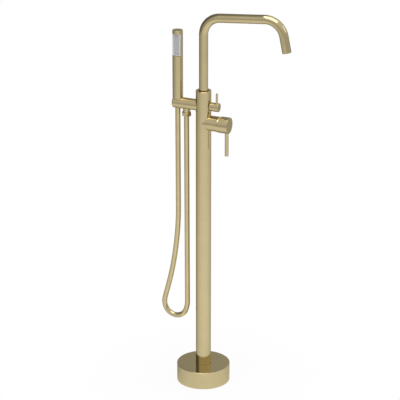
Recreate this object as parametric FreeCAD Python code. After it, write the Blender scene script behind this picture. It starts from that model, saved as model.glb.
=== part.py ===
import FreeCAD, Part
import math
import os

# A floor standing bath filler: a column on a floor flange carries a valve body with a
# joystick mixer on the right, a diverter above it, an arm with a parked hand shower on the
# left, and a swivelling spout on top. Lengths are millimetres and angles are degrees.
# The origin is the column's axis on the floor: +X is the spout's side, +Z is up.

# Fits and gaps
SLIP = 0.05              # round fit between pieces that stay together
RUN = 0.05               # round fit of a piece that turns or slides in another
PLAY = 0.1               # end play of a moving piece
FREE = 0.3               # gap between pieces that move past each other

# Floor flange and base cover
FLANGE_DIAMETER = 130.0
FLANGE_THICKNESS = 8.0
FLANGE_BEVEL = 1.0
FLANGE_BOSS_DIAMETER = 56.0
FLANGE_BOSS_TOP = 30.0
FLANGE_FOOT = 4.0        # 45 degree foot round the boss
COLUMN_SEAT = 12.0       # height of the ledge that the column stands on
SCREW_CIRCLE = 100.0
SCREW_HOLE = 8.5
SCREW_COUNT = 4
COVER_DIAMETER = 158.5
COVER_HEIGHT = 53.0
COVER_WALL = 1.5
COVER_EDGE = 1.2
COVER_GAP = 0.4
COVER_RING_DIAMETER = 53.0
COVER_RING_HEIGHT = 6.0

# Column and valve body
COLUMN_DIAMETER = 45.0
COLUMN_WALL = 2.0
COLUMN_LENGTH = 777.4
BODY_SPIGOT = 20.0
MIXER_ABOVE_SEAM = 29.6
DIVERTER_ABOVE_MIXER = 50.4
TOP_ABOVE_DIVERTER = 46.7
TOP_BEVEL = 0.8
BARREL_DIAMETER = 44.7
BARREL_END = 48.1        # distance of the barrel's end from the column's axis

# Supply tails inside the column
TAIL_OFFSET = 10.2
TAIL_DIAMETER = 12.0
TAIL_WALL = 1.5
TAIL_FLARE_DIAMETER = 13.6
TAIL_FLARE_THICKNESS = 2.0
TAIL_NUT_ACROSS = 18.6
TAIL_NUT_BOTTOM = 4.0
TAIL_NUT_DEPTH = 7.0     # depth of the threaded hole
TAIL_NUT_ROOF = 5.0
TAIL_THREAD_BORE = 15.0
NIPPLE_ACROSS = 14.0
NIPPLE_HEX = 10.0
NIPPLE_SPIGOT_DIAMETER = 10.0
NIPPLE_SPIGOT = 10.0
INLET_BORE = 7.0

# Mixer cartridge, along the mixer's axis
CAVITY_FLOOR = 12.0      # distance of the cavity's floor from the column's axis
CAVITY_DIAMETER = 35.6
PORT_CIRCLE = 7.4        # radius on which the three ports lie
BODY_PORT = 6.0
OUTLET_BORE = 9.0
SEAL_DIAMETER = 9.2
SEAL_BORE = 6.0
SEAL_GROOVE = 1.2
SEAL_PROUD = 0.6
CASE_WALL = 3.9
CASE_BASE = 10.1
CASE_PORT = 5.2
DISC_PORT = 4.8
FIXED_DISC = 4.0
MOVING_DISC = 3.0
MOVING_DISC_DIAMETER = 21.0
DISC_POCKET_WALL = 1.1
DISC_POCKET_SILL = 3.0
DISC_POCKET_DEPTH = 1.5
CARRIER = 4.95
CARRIER_FLOOR = 0.15
TURRET_DIAMETER = 28.0
YOKE_DIAMETER = 24.0
YOKE_LENGTH = 9.8
YOKE_SLOT_HEIGHT = 15.0
TURRET_LIP = 1.0
TURRET_LIP_INSET = 1.1
PIVOT_OFFSET = 5.9       # from the yoke's back to the pivot
PIVOT_DIAMETER = 3.0
PIVOT_LENGTH = 23.0
CARTRIDGE_NUT = 8.0
NUT_RELIEF = 0.2
NECK_DIAMETER = 37.0
NECK_LENGTH = 6.6
NECK_ROUND = 4.0
NECK_BORE = 24.0
BALL_DIAMETER = 5.0
SPINDLE_NECK = 3.6
SPINDLE_WIDTH = 8.0
SPINDLE_HEIGHT = 7.0
SPINDLE_TAIL = 4.0       # square part behind the pivot

# Mixer handle
HANDLE_DIAMETER = 48.0
HANDLE_WALL = 2.0
HANDLE_LENGTH = 32.8     # from the barrel's end to the handle's face
HANDLE_FACE_WALL = 3.5
HANDLE_REAR_SLANT = 16.2  # above its knee the open rear leans outwards by this angle
HANDLE_REAR_KNEE = 1.2   # how far below the handle's axis the knee lies
HANDLE_EDGE = 0.8
HANDLE_BOSS_DIAMETER = 16.0
HANDLE_BOSS_START = 10.6  # from the barrel's end
LEVER_DIAMETER = 11.2
LEVER_INSET = 8.2        # from the handle's face to the lever's axis
LEVER_REACH = 93.5       # from the handle's axis to the lever's tip
LEVER_EDGE = 0.5
LEVER_SPIGOT = 5.9
LEVER_GRUB_LENGTH = 5.5
SPOT_FACE = 1.0          # depth of the flat that a pin stands on
PILLAR_WALL = 2.5

# Diverter, along its own axis
DIVERTER_BORE = 16.0
DIVERTER_DEPTH = 10.0    # the bore ends this far behind the column's axis
DIVERTER_SEAT_DIAMETER = 20.0
DIVERTER_SEAT_PROUD = 0.4
DIVERTER_PORT = 7.0
DIVERTER_FLANGE_DIAMETER = 19.6
DIVERTER_FLANGE = 2.1
DIVERTER_NECK_DIAMETER = 12.0
DIVERTER_NECK = 9.0
ROTOR_DIAMETER = 11.1
ROTOR_RELIEF = 1.0       # behind the rotor, to the bore's floor
ROTOR_END = 11.9
ROTOR_BORE = 5.6
ROTOR_PORT = 4.8
ROTOR_GROOVE_FLOOR = 3.6
ROTOR_GROOVE_SIDE = 2.0
STEM_DIAMETER = 6.0
KNOB_GAP = 0.4
KNOB_DIAMETER = 25.6
KNOB_LENGTH = 25.5
KNOB_WALL = 2.0
KNOB_FACE_WALL = 3.4
KNOB_EDGE = 1.0
KNOB_BOSS_DIAMETER = 13.0
KNOB_BOSS_LENGTH = 11.0
DIVERTER_PIN_DIAMETER = 6.5
DIVERTER_PIN_INSET = 7.3
DIVERTER_PIN_REACH = 41.3
DIVERTER_PIN_SPIGOT = 4.0
PIN_GRUB_LENGTH = 3.9
GRUB_CLEAR = 0.05
KNOB_SPOT_FACE = 0.85

# Arm, outlet and hose
ARM_DIAMETER = 33.0
ARM_END = 13.7           # from the hand shower's axis to the arm's end
ARM_EDGE = 4.0
ARM_SPIGOT_DIAMETER = 20.0
ARM_SOCKET_DEPTH = 9.5
WATERWAY = 10.0
OUTLET_REACH = 53.2
OUTLET_DIAMETER = 21.0
OUTLET_SOCKET = 7.6      # how deep the outlet's nipple goes into the arm
OUTLET_NECK = 8.8        # from the arm's underside to the hose nut
HOSE_NUT_ACROSS = 24.6
HOSE_NUT_LENGTH = 11.2
HOSE_NUT_CHAMFER = 1.2
HOSE_NUT_FLOOR = 3.0
HOSE_INSERT_DIAMETER = 12.4
HOSE_INSERT_FLANGE = 2.0
HOSE_WASHER = 2.0
HOSE_DIAMETER = 15.3
HOSE_END_GAP = 0.05
HANDSET_REACH = 80.6
SEAT_DEPTH = 4.5         # depth of the handset's seat below the arm's crown
SEAT_FLOOR = 3.6         # metal left under the bush
BUSH_WALL = 1.1
HOSE_HOLE_GAP = 1.4

# Hand shower
HANDSET_DIAMETER = 30.6
HANDSET_LENGTH = 205.1
HANDSET_WALL = 1.8
HANDSET_FLOOR = 3.0
HANDSET_EDGE = 0.6
NOSE_TOP_DIAMETER = 18.8
NOSE_TIP_DIAMETER = 16.4
TAIL_DISC = 10.3
STEM_OUTSIDE = 12.0
STEM_BORE = 8.0
STEM_LENGTH = 20.0
STEM_GROOVE_ABOVE = 9.0
STEM_RING = 2.4
STEM_RING_DEPTH = 1.2
CAP_HEIGHT = 9.6
CAP_PLUG = 5.5
SPRAY_LENGTH = 65.4
SPRAY_FLAT = 9.4         # distance of the spray face from the handset's axis
SPRAY_PLATE = 1.35
BULKHEAD = 3.0
CORE_TUBE_DIAMETER = 14.0
CORE_TUBE_BORE = 10.0
CORE_GAP = 1.0
NOZZLE_ROWS = 11
NOZZLE_PITCH = 5.4
NOZZLE_SPREAD = 2.9
NOZZLE_DIAMETER = 2.2
NOZZLE_TIP_DIAMETER = 1.6
NOZZLE_HEIGHT = 0.9

# Spout
SPOUT_DIAMETER = 26.4
SPOUT_WALL = 1.5
SPOUT_RISE = 216.1       # from the valve body's top to the first corner
SPOUT_SLOPE = 4.92
SPOUT_RUN = 234.9
SPOUT_LEAN = 11.57       # the leg leans outwards by this angle
SPOUT_LEG = 95.5
SPOUT_BEND = 54.2
SPOUT_SOCKET_DIAMETER = 24.1
SPOUT_SOCKET = 16.0
COLLAR_DEPTH = 18.0
COLLAR_BORE_DIAMETER = 36.0
COLLAR_RECESS = 0.4
SPOUT_FOOT_DIAMETER = 33.0
SPOUT_FOOT = 3.0
SPOUT_GAP = 1.2          # dark ring between the collar and the riser
SPOUT_NECK = 24.0
SPOUT_BORE = 18.0
SPOUT_RING = 2.4
SPOUT_RING_DEPTH = 1.5
SPOUT_RING_SHARES = (0.3, 0.65)  # where the rings lie along the socket
AERATOR_LENGTH = 14.0
AERATOR_WALL = 1.6
AERATOR_INSET = 0.6
STRAIGHTENER = 4.0
STRAIGHTENER_INSET = 1.6
CELL_ACROSS = 3.2
CELL_PITCH = 4.0
CELL_RINGS = 2

# Route of the hose from the outlet to the handset, as chosen points (x, z)
HOSE_POINTS = [
    (-51.5, 231.1),
    (-63.0, 201.2),
    (-91.4, 190.2),
    (-118.6, 203.6),
    (-129.2, 232.7),
    (-117.2, 274.1),
    (-99.9, 342.9),
    (-87.2, 423.4),
    (-79.9, 505.2),
]
ARC_SHARE = 0.45         # share of the shorter run that an arc takes

# Places that follow from the sizes
SEAM = COLUMN_SEAT + COLUMN_LENGTH
MIXER = SEAM + MIXER_ABOVE_SEAM
DIVERTER = MIXER + DIVERTER_ABOVE_MIXER
BODY_TOP = DIVERTER + TOP_ABOVE_DIVERTER
COLUMN_RADIUS = COLUMN_DIAMETER / 2
COLUMN_BORE = COLUMN_RADIUS - COLUMN_WALL
TAIL_TOP = SEAM - BODY_SPIGOT - NIPPLE_HEX

CASE_START = CAVITY_FLOOR + SEAL_PROUD
DISC_SEAT = CASE_START + CASE_BASE
CASE_RADIUS = CAVITY_DIAMETER / 2 - FREE
CHAMBER_RADIUS = CASE_RADIUS - CASE_WALL
MOVING_START = DISC_SEAT + FIXED_DISC + RUN
CARRIER_START = MOVING_START + MOVING_DISC
CHAMBER_END = CARRIER_START + CARRIER
YOKE_START = CHAMBER_END + PLAY
YOKE_END = YOKE_START + YOKE_LENGTH
TURRET_END = YOKE_END + PLAY + TURRET_LIP
PIVOT = YOKE_START + PIVOT_OFFSET
NECK_END = BARREL_END + NECK_LENGTH
BALL_CENTRE = CARRIER_START + CARRIER_FLOOR + BALL_DIAMETER / 2 + PLAY

HANDLE_RADIUS = HANDLE_DIAMETER / 2
HANDLE_FACE = BARREL_END + HANDLE_LENGTH
LEVER_X = HANDLE_FACE - LEVER_INSET
LEVER_SEAT = HANDLE_RADIUS - SPOT_FACE
LEVER_GRUB_TOP = MIXER - SPINDLE_HEIGHT / 2 - GRUB_CLEAR
LEVER_GRUB_BOTTOM = LEVER_GRUB_TOP - LEVER_GRUB_LENGTH

DIVERTER_SEAT = COLUMN_RADIUS + DIVERTER_SEAT_PROUD
KNOB_START = DIVERTER_SEAT + KNOB_GAP
KNOB_FACE = KNOB_START + KNOB_LENGTH
KNOB_INSIDE = KNOB_FACE - KNOB_FACE_WALL
DIVERTER_PIN_X = KNOB_FACE - DIVERTER_PIN_INSET
DIVERTER_PIN_SEAT = KNOB_DIAMETER / 2 - KNOB_SPOT_FACE
PIN_GRUB_BOTTOM = DIVERTER + STEM_DIAMETER / 2 + GRUB_CLEAR
PIN_GRUB_TOP = PIN_GRUB_BOTTOM + PIN_GRUB_LENGTH

ARM_REACH = HANDSET_REACH + ARM_END
ARM_RADIUS = ARM_DIAMETER / 2
ARM_BOTTOM = DIVERTER - ARM_RADIUS
ARM_SPIGOT_END = COLUMN_RADIUS - ARM_SOCKET_DEPTH
NIPPLE_TOP = ARM_BOTTOM + OUTLET_SOCKET
NUT_TOP = ARM_BOTTOM - OUTLET_NECK
NUT_BOTTOM = NUT_TOP - HOSE_NUT_LENGTH
NIPPLE_BOTTOM = NUT_BOTTOM + HOSE_NUT_FLOOR + HOSE_INSERT_FLANGE + HOSE_WASHER
SEAT = DIVERTER + ARM_RADIUS - SEAT_DEPTH
BUSH_BOTTOM = ARM_BOTTOM + SEAT_FLOOR

HANDSET_BOTTOM = SEAT + FREE
HANDSET_TOP = HANDSET_BOTTOM + HANDSET_LENGTH
HANDSET_RADIUS = HANDSET_DIAMETER / 2
HANDSET_BORE = HANDSET_RADIUS - HANDSET_WALL
CAP_BOTTOM = HANDSET_TOP - CAP_HEIGHT
SPRAY_BOTTOM = CAP_BOTTOM - SPRAY_LENGTH
SPRAY_BACK = SPRAY_FLAT - SPRAY_PLATE
TAIL_DISC_BOTTOM = HANDSET_BOTTOM + HANDSET_FLOOR
TAIL_DISC_TOP = TAIL_DISC_BOTTOM + TAIL_DISC
STEM_TOP = BUSH_BOTTOM + STEM_LENGTH

SPOUT_RADIUS = SPOUT_DIAMETER / 2
SPOUT_INSIDE = SPOUT_RADIUS - SPOUT_WALL
SOCKET_TOP = BODY_TOP - COLLAR_DEPTH
SOCKET_FLOOR = SOCKET_TOP - SPOUT_SOCKET
SPOUT_START = SOCKET_TOP + SPOUT_FOOT
FAR = 400.0              # longer than any piece that is cut


def vector(x, y, z):
    return FreeCAD.Vector(x, y, z)


def along_z(radius, low, high, x=0.0, y=0.0):
    return Part.makeCylinder(radius, high - low, vector(x, y, low), vector(0, 0, 1))


def along_x(radius, start, end, z, y=0.0):
    return Part.makeCylinder(radius, end - start, vector(start, y, z), vector(1, 0, 0))


def along_y(radius, start, end, x, z):
    return Part.makeCylinder(radius, end - start, vector(x, start, z), vector(0, 1, 0))


def sleeve_z(outer, inner, low, high, x=0.0, y=0.0):
    return along_z(outer, low, high, x, y).cut(along_z(inner, low, high, x, y))


def sleeve_x(outer, inner, start, end, z, y=0.0):
    return along_x(outer, start, end, z, y).cut(along_x(inner, start, end, z, y))


def block(x0, x1, y0, y1, z0, z1):
    return Part.makeBox(x1 - x0, y1 - y0, z1 - z0, vector(x0, y0, z0))


def hexagon_z(across, low, high, x=0.0, y=0.0):
    """A six-sided prism with corners towards +X and -X."""
    corner = across / 2 / math.cos(math.radians(30))
    points = []
    for side in range(7):
        angle = math.radians(60 * side)
        points.append(vector(x + corner * math.cos(angle), y + corner * math.sin(angle), low))
    return Part.Face(Part.makePolygon(points)).extrude(vector(0, 0, high - low))


def turned_z(outline, x):
    """A solid of revolution about a Z axis at x, from (radius, z) corners."""
    points = [vector(x + radius, 0, z) for radius, z in outline]
    face = Part.Face(Part.makePolygon(points + points[:1]))
    return face.revolve(vector(x, 0, 0), vector(0, 0, 1), 360)


def rims_z(shape, z, radius):
    """The round edges of one radius at one height."""
    found = []
    for edge in shape.Edges:
        box = edge.BoundBox
        flat = box.ZLength < SLIP and abs(box.ZMin - z) < SLIP
        if flat and abs(box.XLength - 2 * radius) < SLIP:
            found.append(edge)
    return found


def rims_x(shape, x, radius):
    """The round edges of one radius at one distance along X."""
    found = []
    for edge in shape.Edges:
        box = edge.BoundBox
        flat = box.XLength < SLIP and abs(box.XMin - x) < SLIP
        if flat and abs(box.YLength - 2 * radius) < SLIP:
            found.append(edge)
    return found


def rounded_path(points, tangents):
    """Straight runs joined by tangent arcs; each arc starts one tangent length from its point."""
    edges = []
    here = points[0]
    for index in range(1, len(points) - 1):
        corner = points[index]
        back = (points[index - 1] - corner).normalize()
        ahead = (points[index + 1] - corner).normalize()
        tangent = tangents[index - 1]
        half = (math.pi - back.getAngle(ahead)) / 2
        radius = tangent / math.tan(half)
        middle = (back + ahead).normalize() * (radius / math.cos(half) - radius)
        start = corner + back * tangent
        end = corner + ahead * tangent
        edges.append(Part.LineSegment(here, start).toShape())
        edges.append(Part.Arc(start, corner + middle, end).toShape())
        here = end
    edges.append(Part.LineSegment(here, points[-1]).toShape())
    return Part.Wire(edges)


def swept_rod(path, radius):
    """A round solid along a path."""
    edge = path.Edges[0]
    direction = edge.tangentAt(edge.FirstParameter)
    circle = Part.Circle(edge.valueAt(edge.FirstParameter), direction, radius)
    return path.makePipeShell([Part.Wire(circle.toShape())], True, False)


# ---- floor flange, cover and column ----

def floor_flange():
    radius = FLANGE_DIAMETER / 2
    boss = FLANGE_BOSS_DIAMETER / 2
    outline = [
        (COLUMN_BORE, 0),
        (radius, 0),
        (radius, FLANGE_THICKNESS - FLANGE_BEVEL),
        (radius - FLANGE_BEVEL, FLANGE_THICKNESS),
        (boss + FLANGE_FOOT, FLANGE_THICKNESS),
        (boss, FLANGE_THICKNESS + FLANGE_FOOT),
        (boss, FLANGE_BOSS_TOP),
        (COLUMN_RADIUS + SLIP, FLANGE_BOSS_TOP),
        (COLUMN_RADIUS + SLIP, COLUMN_SEAT),
        (COLUMN_BORE, COLUMN_SEAT),
    ]
    flange = turned_z(outline, 0)
    holes = []
    for number in range(SCREW_COUNT):
        angle = math.radians(360 / SCREW_COUNT * (number + 0.5))
        x = SCREW_CIRCLE / 2 * math.cos(angle)
        y = SCREW_CIRCLE / 2 * math.sin(angle)
        holes.append(along_z(SCREW_HOLE / 2, 0, FLANGE_THICKNESS, x, y))
    return flange.cut(holes)


def base_cover():
    radius = COVER_DIAMETER / 2
    shell = along_z(radius, 0, COVER_HEIGHT)
    shell = shell.makeFillet(COVER_EDGE, rims_z(shell, COVER_HEIGHT, radius))
    inside = along_z(radius - COVER_WALL, 0, COVER_HEIGHT - COVER_WALL)
    hole = along_z(COLUMN_RADIUS + COVER_GAP, 0, COVER_HEIGHT)
    return shell.cut([inside, hole])


def cover_ring():
    top = COVER_HEIGHT - COVER_WALL
    bottom = top - COVER_RING_HEIGHT
    return sleeve_z(COVER_RING_DIAMETER / 2, COLUMN_RADIUS + PLAY, bottom, top)


def column_tube():
    return sleeve_z(COLUMN_RADIUS, COLUMN_BORE, COLUMN_SEAT, SEAM)


# ---- supply tails ----

def supply_tail(side):
    y = side * TAIL_OFFSET
    radius = TAIL_DIAMETER / 2
    bottom = TAIL_NUT_BOTTOM + TAIL_NUT_DEPTH
    tube = along_z(radius, bottom, TAIL_TOP, 0, y)
    flare = along_z(TAIL_FLARE_DIAMETER / 2, bottom, bottom + TAIL_FLARE_THICKNESS, 0, y)
    bore = along_z(radius - TAIL_WALL, bottom, TAIL_TOP, 0, y)
    return tube.fuse(flare).cut(bore)


def hot_tail():
    return supply_tail(-1)


def cold_tail():
    return supply_tail(1)


def tail_nuts():
    nuts = []
    ledge = TAIL_NUT_BOTTOM + TAIL_NUT_DEPTH
    roof = ledge + TAIL_FLARE_THICKNESS
    top = roof + TAIL_NUT_ROOF
    for side in (-1, 1):
        y = side * TAIL_OFFSET
        nut = hexagon_z(TAIL_NUT_ACROSS, TAIL_NUT_BOTTOM, top, 0, y)
        thread = along_z(TAIL_THREAD_BORE / 2, TAIL_NUT_BOTTOM, ledge, 0, y)
        seat = along_z(TAIL_FLARE_DIAMETER / 2 + SLIP, ledge, roof, 0, y)
        hole = along_z(TAIL_DIAMETER / 2 + SLIP, TAIL_NUT_BOTTOM, top, 0, y)
        nuts.append(nut.cut([thread, seat, hole]))
    return Part.makeCompound(nuts)


def tail_nipples():
    nipples = []
    shoulder = TAIL_TOP + NIPPLE_HEX
    top = shoulder + NIPPLE_SPIGOT
    for side in (-1, 1):
        y = side * TAIL_OFFSET
        body = hexagon_z(NIPPLE_ACROSS, TAIL_TOP, shoulder, 0, y)
        spigot = along_z(NIPPLE_SPIGOT_DIAMETER / 2, shoulder, top, 0, y)
        bore = along_z(INLET_BORE / 2, TAIL_TOP, top, 0, y)
        nipples.append(body.fuse(spigot).cut(bore))
    return Part.makeCompound(nipples)


# ---- valve body ----

def valve_body():
    column = along_z(COLUMN_RADIUS, SEAM, BODY_TOP)
    column = column.makeChamfer(TOP_BEVEL, rims_z(column, BODY_TOP, COLUMN_RADIUS))
    spigot = along_z(COLUMN_BORE - SLIP, SEAM - BODY_SPIGOT, SEAM)
    barrel = along_x(BARREL_DIAMETER / 2, 0, BARREL_END, MIXER)
    seat = along_x(DIVERTER_SEAT_DIAMETER / 2, 0, DIVERTER_SEAT, DIVERTER)
    body = column.fuse([spigot, barrel, seat])
    return body.cut(inlet_ways() + mixer_ways() + diverter_ways() + spout_ways())


def inlet_ways():
    """The nipples' sockets, and the rising bores that feed the mixer's inlet ports."""
    floor = SEAM - BODY_SPIGOT
    socket = floor + NIPPLE_SPIGOT
    ways = []
    for side in (-1, 1):
        y = side * TAIL_OFFSET
        ways.append(along_z(NIPPLE_SPIGOT_DIAMETER / 2 + SLIP, floor, socket, 0, y))
        ways.append(along_z(INLET_BORE / 2, socket, MIXER + INLET_BORE / 2, 0, y))
        ways.append(along_x(BODY_PORT / 2, 0, CAVITY_FLOOR, MIXER, side * PORT_CIRCLE))
    return ways


def mixer_ways():
    """The cartridge's cavity, and the way from its outlet port up to the diverter."""
    cavity = along_x(CAVITY_DIAMETER / 2, CAVITY_FLOOR, BARREL_END, MIXER)
    port = MIXER + PORT_CIRCLE
    outlet = along_x(BODY_PORT / 2, -OUTLET_BORE / 2, CAVITY_FLOOR, port)
    riser = along_z(OUTLET_BORE / 2, port - BODY_PORT / 2, DIVERTER)
    return [cavity, outlet, riser]


def diverter_ways():
    """The diverter's bore, with the arm's socket behind it."""
    bore = along_x(DIVERTER_BORE / 2, -DIVERTER_DEPTH, DIVERTER_SEAT, DIVERTER)
    socket = along_x(ARM_SPIGOT_DIAMETER / 2 + SLIP, -COLUMN_RADIUS, -ARM_SPIGOT_END, DIVERTER)
    way = along_x(OUTLET_BORE / 2, -ARM_SPIGOT_END, -DIVERTER_DEPTH, DIVERTER)
    return [bore, socket, way]


def spout_ways():
    """The spout's socket, the wider bore for its collar, and the bore that feeds it."""
    feed = along_z(OUTLET_BORE / 2, DIVERTER, SOCKET_FLOOR)
    socket = along_z(SPOUT_SOCKET_DIAMETER / 2, SOCKET_FLOOR, SOCKET_TOP)
    collar = along_z(COLLAR_BORE_DIAMETER / 2, SOCKET_TOP, BODY_TOP)
    return [feed, socket, collar]


# ---- mixer cartridge ----

def port_places():
    """Hot, cold and outlet, as (y, z)."""
    return [(-PORT_CIRCLE, MIXER), (PORT_CIRCLE, MIXER), (0, MIXER + PORT_CIRCLE)]


def mixer_cartridge():
    body = along_x(CASE_RADIUS, CASE_START, CHAMBER_END, MIXER)
    turret = along_x(TURRET_DIAMETER / 2, CHAMBER_END, TURRET_END, MIXER)
    chamber = along_x(CHAMBER_RADIUS, DISC_SEAT, CHAMBER_END, MIXER)
    yoke_bore = along_x(YOKE_DIAMETER / 2 + RUN, CHAMBER_END, TURRET_END - TURRET_LIP, MIXER)
    mouth = along_x(YOKE_DIAMETER / 2 - TURRET_LIP_INSET, CHAMBER_END, TURRET_END, MIXER)
    cuts = [chamber, yoke_bore, mouth]
    for y, z in port_places():
        cuts.append(along_x(CASE_PORT / 2, CASE_START, DISC_SEAT, z, y))
        cuts.append(along_x(SEAL_DIAMETER / 2 + SLIP, CASE_START, CASE_START + SEAL_GROOVE, z, y))
    return body.fuse(turret).cut(cuts)


def cartridge_seals():
    seals = []
    end = CASE_START + SEAL_GROOVE
    for y, z in port_places():
        seals.append(sleeve_x(SEAL_DIAMETER / 2, SEAL_BORE / 2, CAVITY_FLOOR, end, z, y))
    return Part.makeCompound(seals)


def fixed_disc():
    end = DISC_SEAT + FIXED_DISC
    disc = along_x(CHAMBER_RADIUS - SLIP, DISC_SEAT, end, MIXER)
    return disc.cut([along_x(DISC_PORT / 2, DISC_SEAT, end, z, y) for y, z in port_places()])


def moving_disc():
    """The sliding ceramic disc: its pocket joins the outlet to the inlets as it moves down."""
    radius = MOVING_DISC_DIAMETER / 2
    disc = along_x(radius, MOVING_START, CARRIER_START, MIXER)
    deep = MOVING_START + DISC_POCKET_DEPTH
    pocket = along_x(radius - DISC_POCKET_WALL, MOVING_START, deep, MIXER)
    sill = MIXER + DISC_POCKET_SILL
    above = block(MOVING_START, deep, -radius, radius, sill, sill + MOVING_DISC_DIAMETER)
    return disc.cut(pocket.common(above))


def disc_carrier():
    carrier = along_x(MOVING_DISC_DIAMETER / 2, CARRIER_START, CHAMBER_END, MIXER)
    floor = CARRIER_START + CARRIER_FLOOR
    return carrier.cut(along_x(BALL_DIAMETER / 2 + PLAY, floor, CHAMBER_END, MIXER))


def cartridge_yoke():
    """The turning carrier of the joystick: a slot for the spindle, and the pivot's cross hole."""
    half = YOKE_DIAMETER / 2
    yoke = along_x(half, YOKE_START, YOKE_END, MIXER)
    width = SPINDLE_WIDTH / 2 + PLAY
    height = YOKE_SLOT_HEIGHT / 2
    slot = block(YOKE_START, YOKE_END, -width, width, MIXER - height, MIXER + height)
    hole = along_y(PIVOT_DIAMETER / 2, -half, half, PIVOT, MIXER)
    return yoke.cut([slot, hole])


def yoke_pin():
    return along_y(PIVOT_DIAMETER / 2, -PIVOT_LENGTH / 2, PIVOT_LENGTH / 2, PIVOT, MIXER)


def cartridge_nut():
    end = CHAMBER_END + CARTRIDGE_NUT
    outer = CAVITY_DIAMETER / 2 - SLIP
    return sleeve_x(outer, TURRET_DIAMETER / 2 + PLAY, CHAMBER_END, end, MIXER)


def dome_ring():
    """The neck behind the handle: it screws into the barrel, and its rounded end clears the tilt."""
    start = CHAMBER_END + CARTRIDGE_NUT + NUT_RELIEF
    spigot = along_x(CAVITY_DIAMETER / 2 - SLIP, start, BARREL_END, MIXER)
    neck = along_x(NECK_DIAMETER / 2, BARREL_END, NECK_END, MIXER)
    neck = neck.makeFillet(NECK_ROUND, rims_x(neck, NECK_END, NECK_DIAMETER / 2))
    room = along_x(TURRET_DIAMETER / 2 + PLAY, start, TURRET_END, MIXER)
    bore = along_x(NECK_BORE / 2, start, NECK_END, MIXER)
    return spigot.fuse(neck).cut([room, bore])


def cartridge_spindle():
    """The joystick: a ball in the disc's carrier, a neck, and a square that holds the handle."""
    ball = Part.makeSphere(BALL_DIAMETER / 2, vector(BALL_CENTRE, 0, MIXER))
    square_start = PIVOT - SPINDLE_TAIL
    square_end = HANDLE_FACE - HANDLE_FACE_WALL - FREE
    neck = along_x(SPINDLE_NECK / 2, BALL_CENTRE, square_start, MIXER)
    wide = SPINDLE_WIDTH / 2
    high = SPINDLE_HEIGHT / 2
    square = block(square_start, square_end, -wide, wide, MIXER - high, MIXER + high)
    hole = along_y(PIVOT_DIAMETER / 2 + RUN, -wide, wide, PIVOT, MIXER)
    return ball.fuse([neck, square]).cut(hole)


# ---- mixer handle ----

def rear_wedge():
    """Everything behind the handle's rear, which is square below and slanted above."""
    near = BARREL_END + FREE
    knee = MIXER - HANDLE_REAR_KNEE
    low = MIXER - HANDLE_DIAMETER
    high = MIXER + HANDLE_DIAMETER
    slanted = near + (high - knee) * math.tan(math.radians(HANDLE_REAR_SLANT))
    corners = [
        vector(-FAR, -FAR, low),
        vector(near, -FAR, low),
        vector(near, -FAR, knee),
        vector(slanted, -FAR, high),
        vector(-FAR, -FAR, high),
    ]
    face = Part.Face(Part.makePolygon(corners + corners[:1]))
    return face.extrude(vector(0, 2 * FAR, 0))


def handle_cap():
    """A cup with a kneed mouth, a square-socketed boss, and a pillar that takes the lever."""
    inside_face = HANDLE_FACE - HANDLE_FACE_WALL
    cap = along_x(HANDLE_RADIUS, BARREL_END, HANDLE_FACE, MIXER)
    cap = cap.makeFillet(HANDLE_EDGE, rims_x(cap, HANDLE_FACE, HANDLE_RADIUS))
    cap = cap.cut(along_x(HANDLE_RADIUS - HANDLE_WALL, BARREL_END, inside_face, MIXER))
    cap = cap.cut(rear_wedge())
    boss_start = BARREL_END + HANDLE_BOSS_START
    boss = along_x(HANDLE_BOSS_DIAMETER / 2, boss_start, inside_face, MIXER)
    pillar_radius = LEVER_SPIGOT / 2 + PILLAR_WALL
    wall_middle = HANDLE_RADIUS - HANDLE_WALL / 2
    pillar = along_z(pillar_radius, MIXER - wall_middle, MIXER, LEVER_X)
    cap = cap.fuse([boss, pillar])
    wide = SPINDLE_WIDTH / 2 + SLIP
    high = SPINDLE_HEIGHT / 2 + SLIP
    socket = block(boss_start, inside_face, -wide, wide, MIXER - high, MIXER + high)
    tapped = along_z(LEVER_SPIGOT / 2 + SLIP, MIXER - HANDLE_RADIUS, MIXER, LEVER_X)
    spot_radius = LEVER_DIAMETER / 2 + PLAY
    spot = along_z(spot_radius, MIXER - HANDLE_DIAMETER, MIXER - LEVER_SEAT, LEVER_X)
    return cap.cut([socket, tapped, spot])


def handle_lever():
    seat = MIXER - LEVER_SEAT
    tip = MIXER - LEVER_REACH
    radius = LEVER_DIAMETER / 2
    rod = along_z(radius, tip, seat, LEVER_X)
    rod = rod.makeFillet(LEVER_EDGE, rims_z(rod, tip, radius))
    return rod.fuse(along_z(LEVER_SPIGOT / 2, seat, LEVER_GRUB_BOTTOM - FREE, LEVER_X))


def handle_grub_screw():
    return along_z(LEVER_SPIGOT / 2, LEVER_GRUB_BOTTOM, LEVER_GRUB_TOP, LEVER_X)


# ---- diverter ----

def diverter_case():
    outer = DIVERTER_BORE / 2 - SLIP
    start = -DIVERTER_DEPTH + PLAY * 2
    flange_end = DIVERTER_SEAT + DIVERTER_FLANGE
    neck_end = flange_end + DIVERTER_NECK
    body = along_x(outer, start, DIVERTER_SEAT, DIVERTER)
    flange = along_x(DIVERTER_FLANGE_DIAMETER / 2, DIVERTER_SEAT, flange_end, DIVERTER)
    neck = along_x(DIVERTER_NECK_DIAMETER / 2, flange_end, neck_end, DIVERTER)
    rotor_room = along_x(ROTOR_DIAMETER / 2 + RUN, start, ROTOR_END + PLAY, DIVERTER)
    stem_room = along_x(STEM_DIAMETER / 2 + RUN, start, neck_end, DIVERTER)
    ports = along_z(DIVERTER_PORT / 2, DIVERTER - outer, DIVERTER + outer)
    return body.fuse([flange, neck]).cut([rotor_room, stem_room, ports])


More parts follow.
